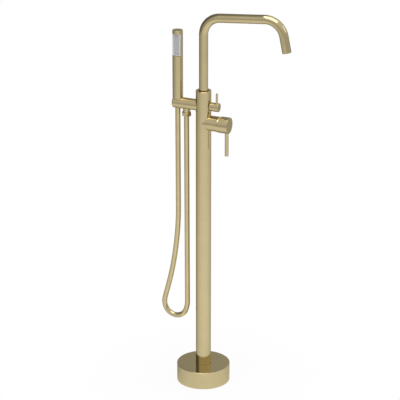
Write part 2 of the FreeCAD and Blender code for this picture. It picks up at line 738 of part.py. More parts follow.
def diverter_spindle():
    """The rotor: a side groove joins mixer and spout; turned, its port feeds the arm."""
    radius = ROTOR_DIAMETER / 2
    start = -DIVERTER_DEPTH + ROTOR_RELIEF
    half = ROTOR_PORT / 2
    rotor = along_x(radius, start, ROTOR_END, DIVERTER)
    stem = along_x(STEM_DIAMETER / 2, ROTOR_END, KNOB_INSIDE - PLAY, DIVERTER)
    groove = sleeve_x(radius + PLAY, ROTOR_GROOVE_FLOOR, -half, half, DIVERTER)
    low = DIVERTER - ROTOR_DIAMETER
    high = DIVERTER + ROTOR_DIAMETER
    side = block(-half, half, -ROTOR_GROOVE_SIDE, ROTOR_DIAMETER, low, high)
    axial = along_x(ROTOR_BORE / 2, start, ROTOR_BORE / 2, DIVERTER)
    radial = along_y(half, -radius - PLAY, 0, 0, DIVERTER)
    return rotor.fuse(stem).cut([groove.common(side), axial, radial])


def diverter_knob():
    """A cup that covers the case's neck, with a boss on the stem and a pillar for the pin."""
    radius = KNOB_DIAMETER / 2
    cup = along_x(radius, KNOB_START, KNOB_FACE, DIVERTER)
    cup = cup.makeFillet(KNOB_EDGE, rims_x(cup, KNOB_FACE, radius))
    cup = cup.cut(along_x(radius - KNOB_WALL, KNOB_START, KNOB_INSIDE, DIVERTER))
    boss = along_x(KNOB_BOSS_DIAMETER / 2, KNOB_INSIDE - KNOB_BOSS_LENGTH, KNOB_INSIDE, DIVERTER)
    pillar_radius = DIVERTER_PIN_SPIGOT / 2 + KNOB_WALL
    wall_middle = radius - KNOB_WALL / 2
    pillar = along_z(pillar_radius, DIVERTER, DIVERTER + wall_middle, DIVERTER_PIN_X)
    cup = cup.fuse([boss, pillar])
    stem_hole = along_x(STEM_DIAMETER / 2 + SLIP, KNOB_START, KNOB_INSIDE, DIVERTER)
    tapped = along_z(DIVERTER_PIN_SPIGOT / 2 + SLIP, DIVERTER, DIVERTER + radius, DIVERTER_PIN_X)
    spot_radius = DIVERTER_PIN_DIAMETER / 2 + PLAY
    seat = DIVERTER + DIVERTER_PIN_SEAT
    spot = along_z(spot_radius, seat, DIVERTER + KNOB_DIAMETER, DIVERTER_PIN_X)
    return cup.cut([stem_hole, tapped, spot])


def diverter_pin():
    seat = DIVERTER + DIVERTER_PIN_SEAT
    tip = DIVERTER + DIVERTER_PIN_REACH
    radius = DIVERTER_PIN_DIAMETER / 2
    rod = along_z(radius, seat, tip, DIVERTER_PIN_X)
    rod = rod.makeFillet(LEVER_EDGE, rims_z(rod, tip, radius))
    low = PIN_GRUB_TOP + FREE
    return rod.fuse(along_z(DIVERTER_PIN_SPIGOT / 2, low, seat, DIVERTER_PIN_X))


def diverter_grub_screw():
    return along_z(DIVERTER_PIN_SPIGOT / 2, PIN_GRUB_BOTTOM, PIN_GRUB_TOP, DIVERTER_PIN_X)


# ---- arm and hose outlet ----

def handset_arm():
    """The arm: saddled on the column, bored for water, and cut for the outlet and the handset."""
    arm = along_x(ARM_RADIUS, -ARM_REACH, 0, DIVERTER)
    arm = arm.makeFillet(ARM_EDGE, rims_x(arm, -ARM_REACH, ARM_RADIUS))
    arm = arm.cut(along_z(COLUMN_RADIUS + SLIP, ARM_BOTTOM - ARM_RADIUS, BODY_TOP))
    spigot_end = -ARM_SPIGOT_END - SLIP
    arm = arm.fuse(along_x(ARM_SPIGOT_DIAMETER / 2, -COLUMN_RADIUS - ARM_EDGE, spigot_end, DIVERTER))
    handset = HANDSET_DIAMETER / 2 + FREE
    crown = DIVERTER + ARM_RADIUS
    bush = NOSE_TOP_DIAMETER / 2 + FREE + BUSH_WALL + SLIP
    hose = HOSE_DIAMETER / 2 + HOSE_HOLE_GAP
    return arm.cut([
        along_x(WATERWAY / 2, -OUTLET_REACH, spigot_end, DIVERTER),
        along_z(WATERWAY / 2, NIPPLE_TOP, DIVERTER, -OUTLET_REACH),
        along_z(OUTLET_DIAMETER / 2 + SLIP, ARM_BOTTOM, NIPPLE_TOP, -OUTLET_REACH),
        along_z(handset, SEAT, crown, -HANDSET_REACH),
        along_z(bush, BUSH_BOTTOM, SEAT, -HANDSET_REACH),
        along_z(hose, ARM_BOTTOM, BUSH_BOTTOM, -HANDSET_REACH),
    ])


def nose_radius(z):
    """The nose tapers from the handset's bottom to the hose's end."""
    share = (z - BUSH_BOTTOM) / (HANDSET_BOTTOM - BUSH_BOTTOM)
    return (NOSE_TIP_DIAMETER + share * (NOSE_TOP_DIAMETER - NOSE_TIP_DIAMETER)) / 2


def arm_bush():
    outer = NOSE_TOP_DIAMETER / 2 + FREE + BUSH_WALL
    outline = [
        (nose_radius(BUSH_BOTTOM) + FREE, BUSH_BOTTOM),
        (outer, BUSH_BOTTOM),
        (outer, SEAT),
        (nose_radius(SEAT) + FREE, SEAT),
    ]
    return turned_z(outline, -HANDSET_REACH)


def outlet_nipple():
    return sleeve_z(OUTLET_DIAMETER / 2, WATERWAY / 2, NIPPLE_BOTTOM, NIPPLE_TOP, -OUTLET_REACH)


def hose_nut():
    """A union nut: a hexagon whose corners are turned off at both ends."""
    x = -OUTLET_REACH
    shelf = NUT_BOTTOM + HOSE_NUT_FLOOR
    corner = HOSE_NUT_ACROSS / 2 / math.cos(math.radians(30))
    blank = along_z(corner, NUT_BOTTOM, NUT_TOP, x)
    blank = blank.makeChamfer(HOSE_NUT_CHAMFER, rims_z(blank, NUT_BOTTOM, corner))
    blank = blank.makeChamfer(HOSE_NUT_CHAMFER, rims_z(blank, NUT_TOP, corner))
    return hexagon_z(HOSE_NUT_ACROSS, NUT_BOTTOM, NUT_TOP, x).common(blank).cut([
        along_z(OUTLET_DIAMETER / 2 + SLIP, shelf, NUT_TOP, x),
        along_z(HOSE_INSERT_DIAMETER / 2 + PLAY, NUT_BOTTOM, shelf, x),
    ])


def hose_insert():
    x = -OUTLET_REACH
    shelf = NUT_BOTTOM + HOSE_NUT_FLOOR
    top = shelf + HOSE_INSERT_FLANGE
    stem = along_z(HOSE_INSERT_DIAMETER / 2, NUT_BOTTOM, shelf, x)
    flange = along_z(OUTLET_DIAMETER / 2 - PLAY, shelf, top, x)
    return stem.fuse(flange).cut(along_z(STEM_BORE / 2, NUT_BOTTOM, top, x))


def hose_washer():
    low = NUT_BOTTOM + HOSE_NUT_FLOOR + HOSE_INSERT_FLANGE
    outer = OUTLET_DIAMETER / 2 - PLAY
    return sleeve_z(outer, WATERWAY / 2, low, low + HOSE_WASHER, -OUTLET_REACH)


def hose_route():
    """The hose's points, from the outlet's nut round the loop and up to the handset."""
    first = vector(-OUTLET_REACH, 0, NUT_BOTTOM - HOSE_END_GAP)
    last = vector(-HANDSET_REACH, 0, BUSH_BOTTOM - HOSE_END_GAP)
    return [first] + [vector(x, 0, z) for x, z in HOSE_POINTS] + [last]


def shower_hose():
    points = hose_route()
    tangents = []
    for index in range(1, len(points) - 1):
        back = points[index - 1] - points[index]
        ahead = points[index + 1] - points[index]
        tangent = ARC_SHARE * min(back.Length, ahead.Length)
        half = (math.pi - back.getAngle(ahead)) / 2
        print("hose arc", index, "radius", round(tangent / math.tan(half), 1))
        tangents.append(tangent)
    path = rounded_path(points, tangents)
    hose = swept_rod(path, HOSE_DIAMETER / 2)
    expected = math.pi * (HOSE_DIAMETER / 2) ** 2 * path.Length
    print("hose length", round(path.Length, 1), "volume over section times length",
          round(hose.Volume / expected, 5))
    return hose


# ---- hand shower ----

def hose_stem():
    """The hose's end piece, which the handset turns on."""
    outer = STEM_OUTSIDE / 2
    low = BUSH_BOTTOM + STEM_GROOVE_ABOVE
    groove = sleeve_z(outer + PLAY, outer - STEM_RING_DEPTH, low, low + STEM_RING, -HANDSET_REACH)
    stem = sleeve_z(outer, STEM_BORE / 2, BUSH_BOTTOM, STEM_TOP, -HANDSET_REACH)
    return stem.cut(groove)


def stem_seal():
    outer = STEM_OUTSIDE / 2 + RUN
    inner = STEM_OUTSIDE / 2 - STEM_RING_DEPTH
    low = BUSH_BOTTOM + STEM_GROOVE_ABOVE
    return sleeve_z(outer, inner, low, low + STEM_RING, -HANDSET_REACH)


def handset_tail():
    """The cone that sits in the arm, and the disc that holds it in the handset's floor."""
    bore = STEM_OUTSIDE / 2 + PLAY
    outline = [
        (bore, BUSH_BOTTOM),
        (NOSE_TIP_DIAMETER / 2, BUSH_BOTTOM),
        (NOSE_TOP_DIAMETER / 2, HANDSET_BOTTOM),
        (NOSE_TOP_DIAMETER / 2, TAIL_DISC_BOTTOM),
        (HANDSET_BORE - SLIP, TAIL_DISC_BOTTOM),
        (HANDSET_BORE - SLIP, TAIL_DISC_TOP),
        (STEM_BORE / 2, TAIL_DISC_TOP),
        (STEM_BORE / 2, STEM_TOP + FREE),
        (bore, STEM_TOP + FREE),
    ]
    return turned_z(outline, -HANDSET_REACH)


def handset_body():
    """The tube of the hand shower, with its floor, its spray window and the sill below it."""
    x = -HANDSET_REACH
    tube = along_z(HANDSET_RADIUS, HANDSET_BOTTOM, CAP_BOTTOM, x)
    tube = tube.makeFillet(HANDSET_EDGE, rims_z(tube, HANDSET_BOTTOM, HANDSET_RADIUS))
    tube = tube.cut([
        along_z(HANDSET_BORE, TAIL_DISC_BOTTOM, CAP_BOTTOM, x),
        along_z(NOSE_TOP_DIAMETER / 2 + SLIP, HANDSET_BOTTOM, TAIL_DISC_BOTTOM, x),
        block(-FAR, FAR, -FAR, SLIP - SPRAY_BACK, SPRAY_BOTTOM, CAP_BOTTOM),
    ])
    sill = along_z(HANDSET_BORE, SPRAY_BOTTOM - BULKHEAD, SPRAY_BOTTOM, x)
    front = block(-FAR, FAR, -FAR, -CORE_TUBE_DIAMETER / 2 - FREE, 0, CAP_BOTTOM)
    return tube.fuse(sill.common(front))


def handset_cap():
    x = -HANDSET_REACH
    cap = along_z(HANDSET_RADIUS, CAP_BOTTOM, HANDSET_TOP, x)
    cap = cap.makeFillet(HANDSET_EDGE, rims_z(cap, HANDSET_TOP, HANDSET_RADIUS))
    plug = along_z(HANDSET_BORE - SLIP, CAP_BOTTOM - CAP_PLUG, CAP_BOTTOM, x)
    behind = block(-FAR, FAR, PLAY - SPRAY_BACK, FAR, 0, CAP_BOTTOM)
    return cap.fuse(plug.common(behind))


def spray_plate():
    x = -HANDSET_REACH
    full = along_z(HANDSET_RADIUS, SPRAY_BOTTOM + PLAY, CAP_BOTTOM - PLAY, x)
    return full.common(block(-FAR, FAR, -SPRAY_FLAT, -SPRAY_BACK, 0, HANDSET_TOP))


def spray_nozzles():
    """Staggered rows of three and two tapered nozzles on the flat spray face."""
    middle = (SPRAY_BOTTOM + CAP_BOTTOM) / 2
    nozzles = []
    for row in range(NOZZLE_ROWS):
        z = middle + (row - (NOZZLE_ROWS - 1) / 2) * NOZZLE_PITCH
        steps = (-2, 0, 2) if row % 2 == 0 else (-1, 1)
        for step in steps:
            place = vector(step * NOZZLE_SPREAD - HANDSET_REACH, -SPRAY_FLAT, z)
            nozzles.append(Part.makeCone(
                NOZZLE_DIAMETER / 2, NOZZLE_TIP_DIAMETER / 2, NOZZLE_HEIGHT, place, vector(0, -1, 0)))
    return Part.makeCompound(nozzles)


def spray_core():
    """The water chamber behind the spray plate, and the tube that feeds it."""
    x = -HANDSET_REACH
    low = SPRAY_BOTTOM + CORE_GAP
    high = CAP_BOTTOM - CAP_PLUG - FREE
    chamber = along_z(HANDSET_BORE - SLIP, low, high, x)
    chamber = chamber.common(block(-FAR, FAR, PLAY - SPRAY_BACK, FAR, 0, high))
    tube = along_z(CORE_TUBE_DIAMETER / 2, TAIL_DISC_TOP, low, x)
    bore = along_z(CORE_TUBE_BORE / 2, TAIL_DISC_TOP, high - HANDSET_FLOOR, x)
    return chamber.fuse(tube).cut(bore)


# ---- spout ----

def spout_points():
    """The spout's centre line: foot, two corners, and the middle of its open end."""
    slope = math.radians(SPOUT_SLOPE)
    lean = math.radians(SPOUT_LEAN)
    corner = vector(0, 0, BODY_TOP + SPOUT_RISE)
    run = vector(math.cos(slope), 0, math.sin(slope))
    leg = vector(math.sin(lean), 0, -math.cos(lean))
    far_corner = corner + run * SPOUT_RUN
    return [vector(0, 0, SPOUT_START), corner, far_corner, far_corner + leg * SPOUT_LEG]


def spout_tube():
    points = spout_points()
    tangents = []
    for index in (1, 2):
        back = points[index - 1] - points[index]
        ahead = points[index + 1] - points[index]
        tangents.append(SPOUT_BEND * math.tan((math.pi - back.getAngle(ahead)) / 2))
    path = rounded_path(points, tangents)
    return swept_rod(path, SPOUT_RADIUS).cut(swept_rod(path, SPOUT_INSIDE))


def ring_places():
    """Heights of the two grooves in the spout's spigot."""
    return [SOCKET_FLOOR + SPOUT_SOCKET * share for share in SPOUT_RING_SHARES]


def spout_spigot():
    """The turning foot of the spout: it runs in the valve body, and its flange is under the collar."""
    outer = SPOUT_SOCKET_DIAMETER / 2 - RUN
    spigot = along_z(outer, SOCKET_FLOOR + FREE, SOCKET_TOP)
    flange = along_z(SPOUT_FOOT_DIAMETER / 2, SOCKET_TOP, SPOUT_START)
    neck = along_z(SPOUT_INSIDE - SLIP, SPOUT_START, SPOUT_START + SPOUT_NECK)
    bore = along_z(SPOUT_BORE / 2, SOCKET_FLOOR, SPOUT_START + SPOUT_NECK)
    grooves = []
    for low in ring_places():
        grooves.append(sleeve_z(outer + PLAY, outer - SPOUT_RING_DEPTH, low, low + SPOUT_RING))
    return spigot.fuse([flange, neck]).cut([bore] + grooves)


def spout_orings():
    outer = SPOUT_SOCKET_DIAMETER / 2 - RUN
    rings = []
    for low in ring_places():
        rings.append(sleeve_z(outer, outer - SPOUT_RING_DEPTH, low, low + SPOUT_RING))
    return Part.makeCompound(rings)


def spout_collar():
    outer = COLLAR_BORE_DIAMETER / 2 - SLIP
    return sleeve_z(outer, SPOUT_RADIUS + SPOUT_GAP, SPOUT_START + PLAY, BODY_TOP - COLLAR_RECESS)


def at_spout_end(shape):
    """Turn a piece made upwards from the origin so that it stands in the spout's open end."""
    points = spout_points()
    upwards = (points[2] - points[3]).normalize()
    shape.Placement = FreeCAD.Placement(points[3], FreeCAD.Rotation(vector(0, 0, 1), upwards))
    return shape


def outlet_housing():
    outer = SPOUT_INSIDE - SLIP
    return at_spout_end(sleeve_z(outer, outer - AERATOR_WALL, AERATOR_INSET, AERATOR_LENGTH))


def flow_straightener():
    """A honeycomb of six-sided cells just inside the open end."""
    low = AERATOR_INSET + STRAIGHTENER_INSET
    high = low + STRAIGHTENER
    disc = along_z(SPOUT_INSIDE - 2 * SLIP - AERATOR_WALL, low, high)
    cells = []
    for row in range(-CELL_RINGS, CELL_RINGS + 1):
        for column in range(-CELL_RINGS, CELL_RINGS + 1):
            if abs(row + column) <= CELL_RINGS:
                x = row * CELL_PITCH * math.cos(math.radians(30))
                y = (column + row / 2) * CELL_PITCH
                cells.append(hexagon_z(CELL_ACROSS, low, high, x, y))
    return at_spout_end(disc.cut(cells))


SUB_PARTS = [
    floor_flange, column_tube, valve_body, hot_tail, cold_tail, tail_nuts, tail_nipples,
    mixer_cartridge, cartridge_seals, fixed_disc, cartridge_nut, dome_ring, diverter_case,
    handset_arm, arm_bush, outlet_nipple, hose_insert, hose_washer, hose_nut, shower_hose,
    spout_collar, spout_tube, spout_spigot, spout_orings, outlet_housing, flow_straightener,
    cartridge_yoke, yoke_pin, moving_disc, disc_carrier, cartridge_spindle, handle_cap,
    handle_lever, handle_grub_screw, diverter_spindle, diverter_knob, diverter_pin,
    diverter_grub_screw, hose_stem, stem_seal, handset_tail, handset_body, handset_cap,
    spray_plate, spray_nozzles, spray_core, base_cover, cover_ring,
]


def main():
    os.makedirs("parts", exist_ok=True)
    for make in SUB_PARTS:
        shape = make()
        name = make.__name__
        if not shape.isValid() or shape.Volume <= 0:
            raise RuntimeError(name + " is not a sound solid")
        shape.exportStep("parts/" + name + ".step")
        print(name, len(shape.Solids), round(shape.Volume))


main()
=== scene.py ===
import math

import bmesh
import bpy
from bpy.props import FloatProperty, FloatVectorProperty, IntProperty, PointerProperty
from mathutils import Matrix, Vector


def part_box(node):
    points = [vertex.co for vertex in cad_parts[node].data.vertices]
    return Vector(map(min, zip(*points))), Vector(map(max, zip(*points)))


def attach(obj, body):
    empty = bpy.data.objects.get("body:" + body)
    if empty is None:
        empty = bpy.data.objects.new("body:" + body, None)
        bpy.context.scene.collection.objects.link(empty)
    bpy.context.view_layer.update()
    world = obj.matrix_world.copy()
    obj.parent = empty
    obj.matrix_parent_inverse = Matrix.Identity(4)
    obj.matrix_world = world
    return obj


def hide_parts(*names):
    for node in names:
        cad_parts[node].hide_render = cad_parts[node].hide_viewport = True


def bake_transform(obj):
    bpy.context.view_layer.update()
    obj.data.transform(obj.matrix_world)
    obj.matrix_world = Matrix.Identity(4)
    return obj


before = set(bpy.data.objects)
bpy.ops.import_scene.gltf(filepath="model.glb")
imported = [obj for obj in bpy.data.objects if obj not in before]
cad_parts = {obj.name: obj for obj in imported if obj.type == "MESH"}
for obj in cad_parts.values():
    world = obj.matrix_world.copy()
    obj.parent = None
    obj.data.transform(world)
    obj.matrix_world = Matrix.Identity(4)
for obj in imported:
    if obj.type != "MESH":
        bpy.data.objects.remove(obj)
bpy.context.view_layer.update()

bl_info = {
    "name": "Floor standing bath filler",
    "version": (1, 0, 0),
    "blender": (4, 5, 0),
    "location": "View3D > Sidebar > Bath filler",
    "description": "Dresses a floor standing bath filler and sets up its studio",
    "category": "Object",
}

MM = 0.001

# The hose's route from the outlet's nut to the hand shower, in metres, as chosen points
# (x, z). The second point and the last but one lie on its two long straight stretches.
HOSE_ROUTE = [
    (-0.0532, 0.83285),
    (-0.0516, 0.2635),
    (-0.0515, 0.2311),
    (-0.0630, 0.2012),
    (-0.0914, 0.1902),
    (-0.1186, 0.2036),
    (-0.1292, 0.2327),
    (-0.1172, 0.2741),
    (-0.0999, 0.3429),
    (-0.0872, 0.4234),
    (-0.0799, 0.5052),
    (-0.0801, 0.5874),
    (-0.0806, 0.85645),
]
HOSE_ORDER = 3
HOSE_ROUNDNESS = 8

# The mixer's neck, in metres: a spigot in the barrel, then a dome that falls to the handle.
# The dome's curve says how much of its fall goes with its length, and with that length squared.
BARREL_FACE = 0.0481
SPIGOT_RADIUS = 0.0177
DOME_RADIUS = 0.0217
DOME_CURVE = (0.4, 0.6)
NECK_BORE = 0.0147
NECK_STEPS = 12
NECK_TURN_STEPS = 96

# The spray plate's rounded edges, and how sharply the painted highlight on its border starts, in
# metres
PLATE_ROUND = 0.8 * MM
PLATE_ROUND_STEPS = 4
PLATE_HIGHLIGHT_BLUR = 0.2 * MM
CLOSE = 0.1 * MM

# Where the camera stood, and where it looked
CAMERA_PLACE = (2.19567, -5.20341, 2.78528)
CAMERA_AIM = (-0.363641, 0.857462, -0.364038)
CAMERA_LENS = 186.279
CAMERA_SENSOR = 36.0
CAMERA_FAR = 50.0

# The studio, in metres: a paper floor, a wide softbox overhead and a small one on the right.
# Levels are brightness, where 1 is white.
FLOOR_HALF = 8.0
FLOOR_PAPER = "F4F4F4"
FLOOR_ROUGHNESS = 0.9
FLOOR_WHITE = [(0.12, 0.94), (0.5, 1.0)]
FLOOR_SHEEN = 0.92
# How bright the floor glows to metal, as painted shade: dimmer behind the object, on the left and
# far off
FLOOR_FRONT = (0.574, -0.819, 0.0)
FLOOR_BY_SIDE = [
    (-1.0, 0.42), (-0.6, 0.5), (-0.34, 0.64), (-0.17, 0.77), (0.17, 0.83), (0.64, 0.94), (1.0, 1.0),
]
FLOOR_LEFT = (-0.966, -0.259, 0.0)
FLOOR_BY_LEFT = [(1.0, 1.0), (1.8, 0.91), (3.0, 0.8), (5.0, 0.6), (7.0, 0.5)]
FLOOR_BY_DISTANCE = [
    (0.1, 0.93), (0.45, 1.0), (1.25, 0.97), (2.0, 0.92), (3.2, 0.81), (5.5, 0.67), (9.0, 0.61),
]
SOFTBOXES = [
    ("overhead_softbox", (0.26, -0.85, 3.3), (0.26, -0.85, 0.0), (2.08, 2.45), 2.1),
    ("right_softbox", (2.9, 0.9, 2.5), (0.0, 0.0, 0.8), (1.4, 1.4), 0.9),
]
# What metal sees of the room: its walls by height, and a dark card that stands on the left
ROOM_BY_HEIGHT = [(-0.2, 0.5), (0.13, 0.57), (0.38, 0.68), (0.55, 0.78), (0.9, 0.86)]
CARD_SIDE = (-0.966, 0.259, 0.45)
CARD_SHADE = [(0.2, 1.0), (0.62, 0.84), (0.88, 0.31), (1.0, 0.23)]
BACKDROP_BY_DEPTH = [(0.1, 0.0), (0.9, 0.05)]
BACKDROP_BY_HEIGHT = [(0.0, 1.0), (0.3, 0.0)]

# Coated brass by the way that each piece turned while it was brushed
UPRIGHT_BRASS = [
    "column_tube", "outlet_nipple", "hose_nut", "spout_collar", "outlet_housing",
    "handle_lever", "diverter_pin", "handset_body", "handset_cap", "base_cover",
]
LEVEL_BRASS = ["handset_arm", "handle_cap", "diverter_knob"]
BENT_BRASS = ["spout_tube"]
BRANCHED_BRASS = ["valve_body"]
# Where the brushing turns from round the Z axis to round the X axis, as (x, share) stops
SPOUT_TURNS = [(0.0, 0.0), (0.054, 1.0), (0.19, 1.0), (0.235, 0.0)]
BODY_TURNS = [(0.0225, 0.0), (0.0235, 1.0)]
RAW_BRASS = [
    "hot_tail", "cold_tail", "tail_nuts", "tail_nipples", "cartridge_nut", "diverter_case",
    "hose_insert", "spout_spigot", "diverter_spindle", "hose_stem", "handset_tail",
]
STEEL = [
    "floor_flange", "yoke_pin", "cartridge_spindle", "handle_grub_screw", "diverter_grub_screw",
]
CERAMIC = ["fixed_disc", "moving_disc"]
NYLON = ["mixer_cartridge", "cartridge_yoke", "spray_core", "flow_straightener"]
ACETAL = ["arm_bush", "disc_carrier"]
RUBBER = ["cartridge_seals", "hose_washer", "spout_orings", "stem_seal", "cover_ring"]


def colour(hex_code):
    """A linear colour from an sRGB hex code."""
    channels = [int(hex_code[start:start + 2], 16) / 255 for start in (0, 2, 4)]
    linear = [c / 12.92 if c <= 0.04045 else ((c + 0.055) / 1.055) ** 2.4 for c in channels]
    return (*linear, 1.0)


def add_node(tree, kind, settings=None, *sources, **links):
    """Add a node. Settings hold its properties and socket values. Sources fill its inputs in
    order, with sockets or values, and None leaves one as it is. Links fill inputs by name."""
    node = tree.nodes.new(kind)
    for name, value in (settings or {}).items():
        if name in node.inputs:
            node.inputs[name].default_value = value
        else:
            setattr(node, name, value)
    filled = list(zip(node.inputs, sources))
    filled += [(node.inputs[name.replace("_", " ")], source) for name, source in links.items()]
    for socket, source in filled:
        if isinstance(source, bpy.types.NodeSocket):
            tree.links.new(source, socket)
        elif source is not None:
            socket.default_value = source
    return node


def new_material(name):
    """An empty node material with its Principled shader and output."""
    material = bpy.data.materials.new(name)
    material.use_nodes = True
    tree = material.node_tree
    tree.nodes.clear()
    shader = add_node(tree, "ShaderNodeBsdfPrincipled")
    output = add_node(tree, "ShaderNodeOutputMaterial")
    tree.links.new(shader.outputs["BSDF"], output.inputs["Surface"])
    return material, tree, shader


def dress(names, material):
    """Give CAD nodes a material."""
    for name in names:
        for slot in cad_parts[name].material_slots:
            slot.material = material


# ---- finishes ----

NOISE_RANGE = (0.3, 0.7)     # the levels that nearly all of a noise lies between
# Brush lines run right round a piece, so they change fast along its axis and slowly across it
ROUND_Z = (0.02, 0.02, 1.0)
ROUND_X = (1.0, 0.02, 0.02)
BRUSH_PITCH = 0.5            # real lines are near 0.1 mm apart; these are as coarse as can show
BRUSH_DEPTH = 0.0006
LINE_DETAIL = 3.0
COAT_DEEP = 0.94             # the coat's darkest tone, as a share of its colour
COAT_TONE = 35               # size of the patches of tone, and of polish, in millimetres
COAT_POLISH = 12
POLISH_SPREAD = (0.9, 1.15)
HOSE_TONES = (1.03, 0.95)    # the strip's lightest and darkest tones, as shares of the coat's
HOSE_TONE = 20
HOSE_ROUGHNESS = (0.07, 0.1)
HOSE_TURN = 1.2              # a turn of the wound strip, in millimetres
HOSE_DEPTH = 0.001
LATHE_DEPTH = 0.004
LATHE_TONE = 8
LATHE_POLISH = 3
LATHE_SPREAD = (0.85, 1.2)
MOULD_TONE = 6
MOULD_POLISH = 2
MOULD_SPREAD = (0.85, 1.15)
PLATE_FIELD = ("C9C8C9", "C3C3C4")
# A painted highlight: the paler colour of the spray plate's border, on all four sides
PLATE_PAINTED_HIGHLIGHT = "E6E5E6"
PLATE_ROUGHNESS = (0.34, 0.42)
PLATE_TONE = 9
PLATE_GRAIN = 0.5
PLATE_DEPTH = 0.001


def patches(tree, where, size, low, high):
    """A value that wanders between low and high in patches about size millimetres across."""
    noise = add_node(tree, "ShaderNodeTexNoise", {"Scale": 1 / (size * MM)}, Vector=where)
    spread = add_node(
        tree, "ShaderNodeMapRange",
        {"From Min": NOISE_RANGE[0], "From Max": NOISE_RANGE[1], "To Min": low, "To Max": high},
        Value=noise.outputs["Fac"])
    return spread.outputs["Result"]


def tones(tree, where, size, bright, deep):
    """A colour that wanders between bright and deep in patches about size millimetres across."""
    band = add_node(tree, "ShaderNodeValToRGB", Fac=patches(tree, where, size, 0.0, 1.0))
    band.color_ramp.elements[0].color = bright
    band.color_ramp.elements[1].color = deep
    return band.outputs["Color"]


def relief(tree, shader, height, depth):
    """Raise the surface by up to depth millimetres, from a height between 0 and 1."""
    bump = add_node(tree, "ShaderNodeBump", {"Distance": depth * MM}, Height=height)
    tree.links.new(bump.outputs["Normal"], shader.inputs["Normal"])


def lines(tree, where, stretch, size):
    """Fine lines size millimetres apart, each as long as the inverse of stretch allows."""
    drawn = add_node(tree, "ShaderNodeMapping", {"Scale": stretch}, Vector=where)
    grit = add_node(
        tree, "ShaderNodeTexNoise", {"Scale": 1 / (size * MM), "Detail": LINE_DETAIL},
        Vector=drawn.outputs["Vector"])
    return grit.outputs["Fac"]


def skin(name, size, bright, deep, polish, roughness):
    """A new material whose tone wanders in patches of size millimetres, and whose roughness
    wanders in patches of polish millimetres. The caller adds its relief."""
    material, tree, shader = new_material(name)
    where = add_node(tree, "ShaderNodeTexCoord").outputs["Object"]
    tree.links.new(tones(tree, where, size, bright, deep), shader.inputs["Base Color"])
    tree.links.new(patches(tree, where, polish, *roughness), shader.inputs["Roughness"])
    return material, tree, shader, where


def scaled(settings, share):
    """The brass's colour, scaled."""
    return (*[channel * share for channel in settings.brass_colour], 1.0)


def brushed_brass(name, settings, turns=None, level=False):
    """PVD coated brass, brushed round each tube to a fine satin: reflections stay sharp across
    a tube and soften along it, and the coat is a little uneven in tone."""
    roughness = [settings.brass_roughness * share for share in POLISH_SPREAD]
    material, tree, shader, where = skin(
        name, COAT_TONE, scaled(settings, 1.0), scaled(settings, COAT_DEEP),
        COAT_POLISH, roughness)
    shader.inputs["Metallic"].default_value = 1.0
    shader.inputs["Specular Tint"].default_value = (*settings.brass_edge, 1.0)
    height = lines(tree, where, ROUND_X if level else ROUND_Z, BRUSH_PITCH)
    if turns:
        side = add_node(tree, "ShaderNodeSeparateXYZ", Vector=where)
        share = ramp(tree, side.outputs["X"], turns)
        across = lines(tree, where, ROUND_X, BRUSH_PITCH)
        mix = add_node(tree, "ShaderNodeMix", {"data_type": "FLOAT"}, share, None, height, across)
        height = mix.outputs[0]
    relief(tree, shader, height, BRUSH_DEPTH)
    return material


def turned_metal(name, bright, dull, roughness, pitch):
    """Metal as the lathe leaves it: rings round the piece, pitch millimetres apart, and a tone
    that shifts where the tool or the hand touched it."""
    material, tree, shader, where = skin(
        name, LATHE_TONE, colour(bright), colour(dull), LATHE_POLISH,
        [roughness * share for share in LATHE_SPREAD])
    shader.inputs["Metallic"].default_value = 1.0
    relief(tree, shader, lines(tree, where, ROUND_Z, pitch), LATHE_DEPTH)
    return material


def moulded(name, bright, dull, roughness, grain, depth):
    """A moulded, lapped or pressed piece that isn't metal: an even colour with faint flow
    patches, and a skin whose grain is grain millimetres across and depth deep."""
    material, tree, shader, where = skin(
        name, MOULD_TONE, colour(bright), colour(dull), MOULD_POLISH,
        [roughness * share for share in MOULD_SPREAD])
    relief(tree, shader, patches(tree, where, grain, 0.0, 1.0), depth)
    return material


def metallised_hose(settings):
    """A smooth PVC shower hose: a metallised strip of the brass's colour is wound inside a
    clear skin, so its turns show as a faint relief under an even gloss."""
    bright, deep = (scaled(settings, share) for share in HOSE_TONES)
    material, tree, shader, where = skin(
        "metallised_hose", HOSE_TONE, bright, deep, COAT_POLISH, HOSE_ROUGHNESS)
    shader.inputs["Metallic"].default_value = 1.0
    shader.inputs["Specular Tint"].default_value = (*settings.brass_edge, 1.0)
    relief(tree, shader, lines(tree, where, ROUND_Z, HOSE_TURN), HOSE_DEPTH)
    return material


def spray_grey(low, high, border):
    """ABS, moulded in a neutral grey with a fine spark finish; its border carries a paler painted
    highlight on all four sides.
    """
    bright, dull = (colour(tone) for tone in PLATE_FIELD)
    material, tree, shader, where = skin(
        "grey_spray_plate", PLATE_TONE, bright, dull, MOULD_POLISH, PLATE_ROUGHNESS)
    axes = add_node(tree, "ShaderNodeSeparateXYZ", Vector=where)
    # Masks of the painted highlight along the border, at both sides and at top and bottom
    rim = []
    for axis, first, last in (("X", low.x, high.x), ("Z", low.z, high.z)):
        stops = [(first + border - PLATE_HIGHLIGHT_BLUR, 1.0), (first + border + PLATE_HIGHLIGHT_BLUR, 0.0),
                 (last - border - PLATE_HIGHLIGHT_BLUR, 0.0), (last - border + PLATE_HIGHLIGHT_BLUR, 1.0)]
        rim.append(ramp(tree, axes.outputs[axis], stops))
    edge = add_node(tree, "ShaderNodeMath", {"operation": "MAXIMUM"}, *rim)
    field = shader.inputs["Base Color"].links[0].from_socket
    # The painted highlight is mixed over the grey field
    tone = add_node(tree, "ShaderNodeMix", {"data_type": "RGBA"},
                    edge.outputs[0], None, None, None, None, None, field, colour(PLATE_PAINTED_HIGHLIGHT))
    tree.links.new(tone.outputs[2], shader.inputs["Base Color"])
    relief(tree, shader, patches(tree, where, PLATE_GRAIN, 0.0, 1.0), PLATE_DEPTH)
    return material


